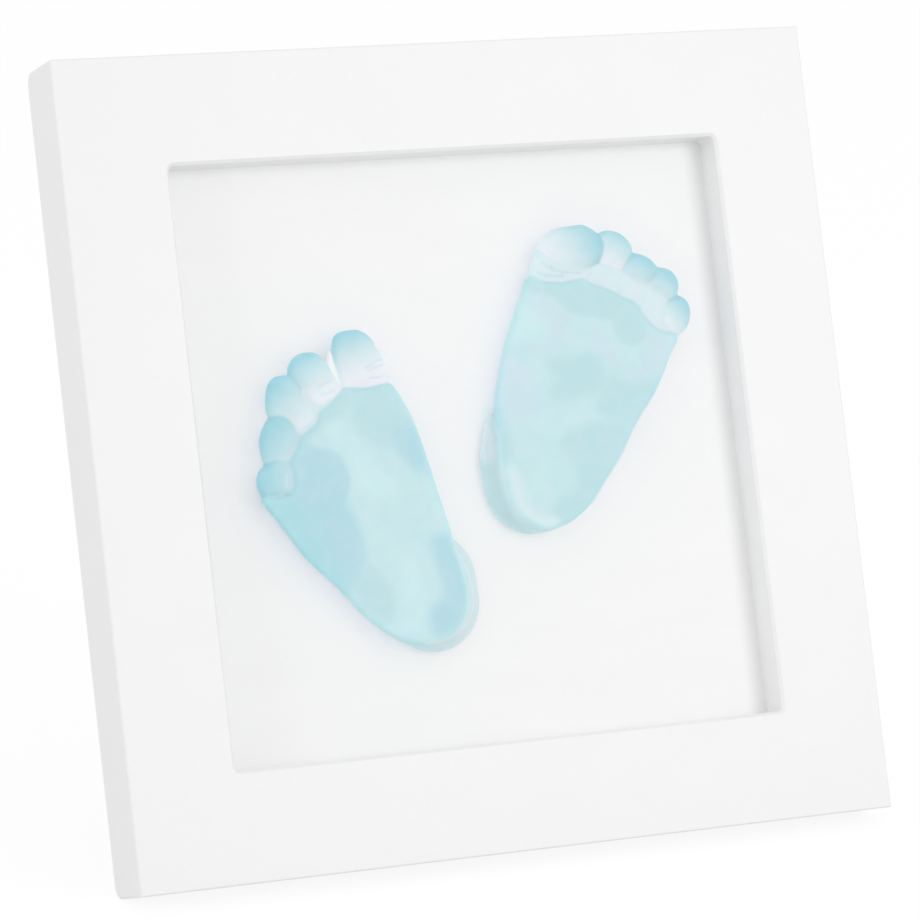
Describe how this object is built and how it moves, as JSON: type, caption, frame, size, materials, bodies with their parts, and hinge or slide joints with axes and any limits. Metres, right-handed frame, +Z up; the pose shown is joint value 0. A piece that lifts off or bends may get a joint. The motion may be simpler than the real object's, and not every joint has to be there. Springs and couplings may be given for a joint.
{
  "type": "baby foot-cast display frame",
  "caption": "Square white shadow frame with translucent turquoise casts of a baby's feet on a white card, leaning back on a hinged easel strut",
  "frame": {"origin": "middle of the box's bottom, on the table, with the strut open", "axes": "+X to the viewer's right along the frame, -Y out of the window towards the viewer, +Z up"},
  "size_m": [0.2, 0.0886, 0.196],
  "materials": {
    "white_lacquer": "satin white lacquer on fibreboard",
    "white_card": "matte white card",
    "bare_fibreboard": "bare medium-density fibreboard",
    "turquoise_resin": "frosted translucent turquoise resin",
    "white_foam": "adhesive foam",
    "zinc_plate": "zinc-plated sheet steel",
    "bright_steel": "bright plated steel"
  },
  "bodies": {
    "frame": {"front_frame": "white_lacquer", "mount_card": "white_card", "backing_board": "bare_fibreboard", "right_foot_cast": "turquoise_resin", "left_foot_cast": "turquoise_resin", "right_foot_pads": "white_foam", "left_foot_pads": "white_foam", "hinge_board_leaf": "zinc_plate", "hinge_pin": "bright_steel", "hinge_board_rivets": "bright_steel", "turn_button_screws": "bright_steel", "sawtooth_hanger": "zinc_plate", "hanger_nails": "bright_steel"},
    "strut": {"strut_leg": "bare_fibreboard", "hinge_strut_leaf": "zinc_plate", "hinge_strut_rivets": "bright_steel"},
    "upper_left_button": {"turn_button_upper_left": "zinc_plate"},
    "lower_left_button": {"turn_button_lower_left": "zinc_plate"},
    "upper_right_button": {"turn_button_upper_right": "zinc_plate"},
    "lower_right_button": {"turn_button_lower_right": "zinc_plate"}
  },
  "joints": [
    {"name": "strut_fold", "type": "hinge", "parent": "frame", "child": "strut", "pos_m": [0, 0.01396, 0.12492], "axis": [1, 0, 0], "range_deg": [-30, 0]},
    {"name": "upper_left_button_turn", "type": "hinge", "parent": "frame", "child": "upper_left_button", "pos_m": [-0.09, 0.01581, 0.13795], "axis": [0, 0.9573, -0.289], "range_deg": [-90, 90]},
    {"name": "lower_left_button_turn", "type": "hinge", "parent": "frame", "child": "lower_left_button", "pos_m": [-0.09, -0.01021, 0.05179], "axis": [0, 0.9573, -0.289], "range_deg": [-90, 90]},
    {"name": "upper_right_button_turn", "type": "hinge", "parent": "frame", "child": "upper_right_button", "pos_m": [0.09, 0.01581, 0.13795], "axis": [0, 0.9573, -0.289], "range_deg": [-90, 90]},
    {"name": "lower_right_button_turn", "type": "hinge", "parent": "frame", "child": "lower_right_button", "pos_m": [0.09, -0.01021, 0.05179], "axis": [0, 0.9573, -0.289], "range_deg": [-90, 90]}
  ]
}
